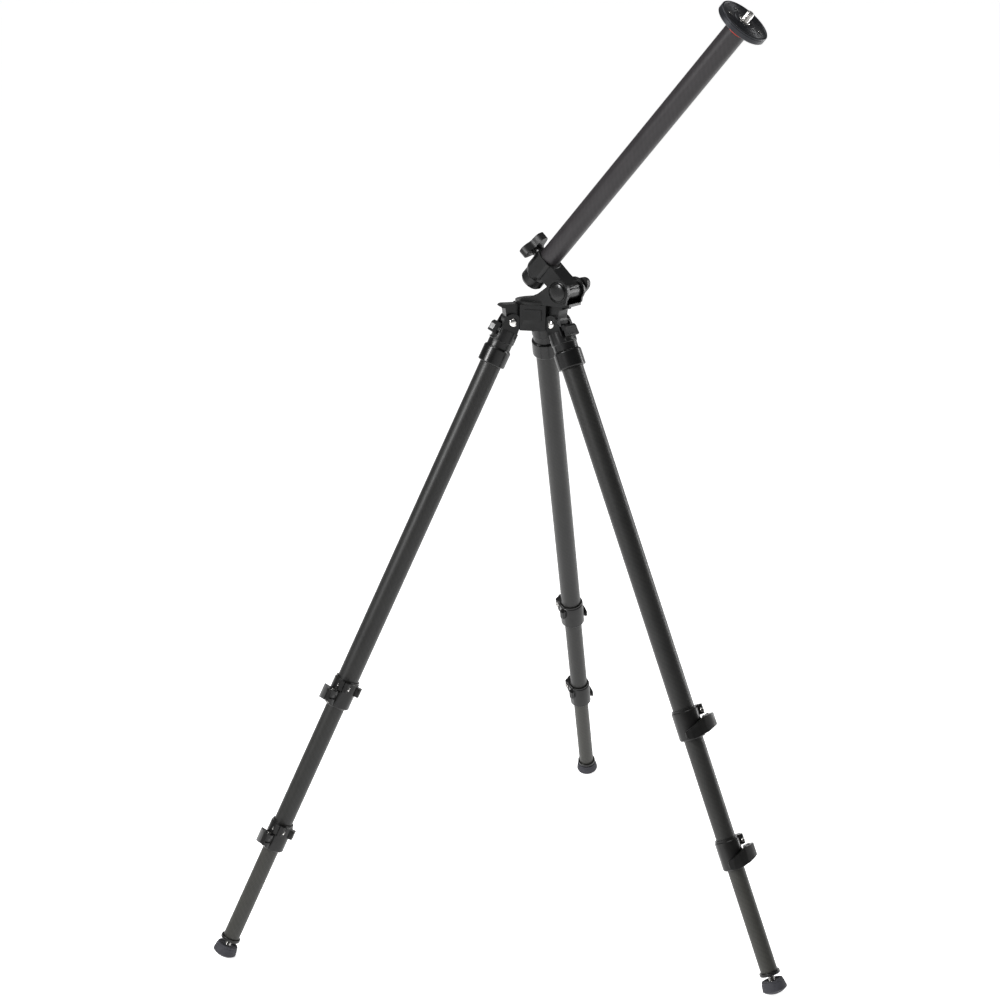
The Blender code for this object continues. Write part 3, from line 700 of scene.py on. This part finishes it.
for leg in LEGS:
    axis = leg_frame(leg)
    for label, carrier, outer in LOCKS:
        collar = "%s_collar_%s" % (label, leg)
        lever = "%s_lever_%s" % (label, leg)
        fasten(softened(collar, axis, 0.6 * MM, 3), collar, LOCK_BLACK, True)
        fasten(softened(lever, axis, 1.0 * MM, 3), lever, LOCK_BLACK, True)
        scale = outer / UPPER_OUTER
        pin = axis.inverted() @ Vector(JOINTS["%s_lever_flip_%s" % (carrier, leg)]["pos_m"])
        tongue = math.degrees(math.atan2(pin.y, pin.x))
        top = Matrix.Translation((0, 0, pin.z))
        for side in (-1, 1):
            seat = across(axis @ top, tongue + SPLIT_TURN, BOSS_REACH * scale, -BOSS_DROP, side)
            head = bored_with_key("%s_screw_%s" % (collar, "ab"[side > 0]), 2.9 * scale * MM,
                                  1.6 * MM, 1.3 * scale * MM, 1.2 * MM,
                                  seat @ Matrix.Translation((0, 0, SCREW_SHIFT)))
            fasten(head, collar, STEEL)
        for end, height, flip in PIN_ENDS:
            cap_place = lever_frame(carrier, leg) @ Matrix.Translation((0, 0, height))
            cap_place = cap_place @ Matrix.Rotation(math.radians(flip), 4, "X")
            rivet = turned("%s_pin_%s" % (lever, end),
                           [(0, 0), (2.4 * MM, 0), (2.4 * MM, 0.5 * MM), (1.8 * MM, 0.9 * MM),
                            (0, 1.0 * MM)], cap_place, 28)
            fasten(rivet, lever, STEEL)

# %% [markdown]
# The pull tabs stop each leg at its angle. One leg of the three is marked: its tab has a pale
# grey pad with rows of raised pyramids, which fingers can find without looking.

# %% Pull tabs
CORNERS = ((-1, -1), (1, -1), (1, 1), (-1, 1))


def knurled(name, width, height, pitch, rise, place):
    """Pad in the XY plane with rows of small pyramids."""
    shape = bmesh.new()
    columns = int(width / pitch)
    rows = int(height / pitch)
    half = 0.48 * pitch
    for i in range(columns):
        for j in range(rows):
            x = (i - (columns - 1) / 2) * pitch
            y = (j - (rows - 1) / 2) * pitch
            low, mid, top = [[shape.verts.new((x + sx * size, y + sy * size, level))
                              for sx, sy in CORNERS]
                             for size, level in ((half, -0.6 * MM), (half, 0), (half * 0.3, rise))]
            for near, far in ((low, mid), (mid, top)):
                for k in range(4):
                    n = (k + 1) % 4
                    shape.faces.new((near[k], near[n], far[n], far[k]))
            shape.faces.new(reversed(low))
            shape.faces.new(top)
    return as_object(shape, name, place, crease=20)


for leg in LEGS:
    node = "pull_tab_" + leg
    axis = leg_frame(leg)
    fasten(softened(node, axis, 0.9 * MM, 3), node, TAB_BLACK, True)
    if leg == "a":
        outward = frame_at(axis @ Vector((19.15 * MM, 0, -14.4 * MM)),
                           axis.to_3x3() @ Vector((1, 0, 0.10)), axis.col[2].xyz)
        pad = knurled(node + "_grip", 16 * MM, 8.6 * MM, 1.45 * MM, 0.55 * MM, outward)
        fasten(pad, node, TAB_GREY)

# %% [markdown]
# Each foot screws up and down on a threaded shaft under the end flange. The rubber has no
# direction of its own, so its copy stands upright instead of in the frame of its leg.

# %% Feet
M8_PITCH = 1.25 * MM

for leg in LEGS:
    axis = leg_frame(leg)
    node = "foot_shaft_" + leg
    low, high, radius = span(node, axis)
    shaft = threaded(node + "_finished", radius, M8_PITCH, low, high, axis, 0.5, 28, 6)
    fasten(shaft, node, STEEL, True)
    node = "tube_end_" + leg
    fasten(softened(node, axis, 0.4 * MM), node, LOCK_BLACK, True)
    node = "foot_rubber_" + leg
    upright = Matrix.Translation(centre_of(node))
    fasten(softened(node, upright, 0.5 * MM, 3, 32, 0.5), node, RUBBER, True)
    low, high, _ = span(node, axis)
    print("foot", leg, round((high - low) / MM, 1), "mm tall")

# %% [markdown]
# A plain pale floor and soft light from the front left. One large panel does most of the work.
# A narrow one on the right draws the thin bright line down the edge of each tube. The sky is
# white at the horizon, where it meets the floor, and dark above, so that black stays black.

# %% Stage
FLOOR_WHITE = Finish("floor_white", (0.9, 0.9, 0.9), 0.9, Specular_IOR_Level=0.1,
                     Emission_Color=(1, 1, 1, 1), Emission_Strength=0.86)
floor_mesh = bpy.data.meshes.new("floor")
reach = 150.0  # metres to each side, which puts the floor's edge at the horizon
floor_mesh.from_pydata([(-reach, -reach, 0), (reach, -reach, 0), (reach, reach, 0),
                        (-reach, reach, 0)], [], [(0, 1, 2, 3)])
floor = bpy.data.objects.new("floor", floor_mesh)
bpy.context.scene.collection.objects.link(floor)
floor_mesh.materials.append(FLOOR_WHITE.material)
floor.location.z = -1 * MM


def panel(name, location, target, size, power):
    """Rectangular lamp that faces a target, with its power in watts."""
    data = bpy.data.lights.new(name, "AREA")
    data.shape = "RECTANGLE"
    data.size, data.size_y = size
    data.energy = power
    lamp = bpy.data.objects.new(name, data)
    lamp.location = location
    aim = Vector(target) - Vector(location)
    lamp.rotation_euler = aim.to_track_quat("-Z", "Y").to_euler()
    bpy.context.scene.collection.objects.link(lamp)


MIDDLE = (0, 0, 0.65)
panel("key_panel", (-1.9, -1.5, 2.4), MIDDLE, (0.7, 1.6), 115)
panel("rim_panel", (2.4, 0.9, 1.0), MIDDLE, (0.30, 2.0), 26)
panel("top_panel", (0.2, 0.2, 2.9), MIDDLE, (1.0, 1.0), 14)

world = bpy.data.worlds.new("pale_room")
world.use_nodes = True
sky = world.node_tree
ray = sky.nodes.new("ShaderNodeTexCoord")
split = sky.nodes.new("ShaderNodeSeparateXYZ")
ramp = sky.nodes.new("ShaderNodeValToRGB")
horizon, zenith = ramp.color_ramp.elements
horizon.position, horizon.color = 0.0, (1, 1, 1, 1)
zenith.position, zenith.color = 0.16, grey(0.15)
sky.links.new(ray.outputs["Generated"], split.inputs[0])
sky.links.new(split.outputs["Z"], ramp.inputs["Fac"])
sky.links.new(ramp.outputs["Color"], sky.nodes["Background"].inputs["Color"])
bpy.context.scene.world = world
bpy.context.scene.view_settings.view_transform = "Standard"

# %% [markdown]
# The camera stands in front, a little above the head plate, and looks slightly down.

# %% Camera
CAMERA_PLACE = (0.07815, -2.449455, 1.300716)
CAMERA_TURN = (73.0637, 3.1919, 0.0272)
camera_data = bpy.data.cameras.new("camera")
camera_data.lens = 69.495
camera_data.sensor_width = 36.0
camera = bpy.data.objects.new("camera", camera_data)
camera.location = CAMERA_PLACE
camera.rotation_euler = [math.radians(a) for a in CAMERA_TURN]
bpy.context.scene.collection.objects.link(camera)
bpy.context.scene.camera = camera
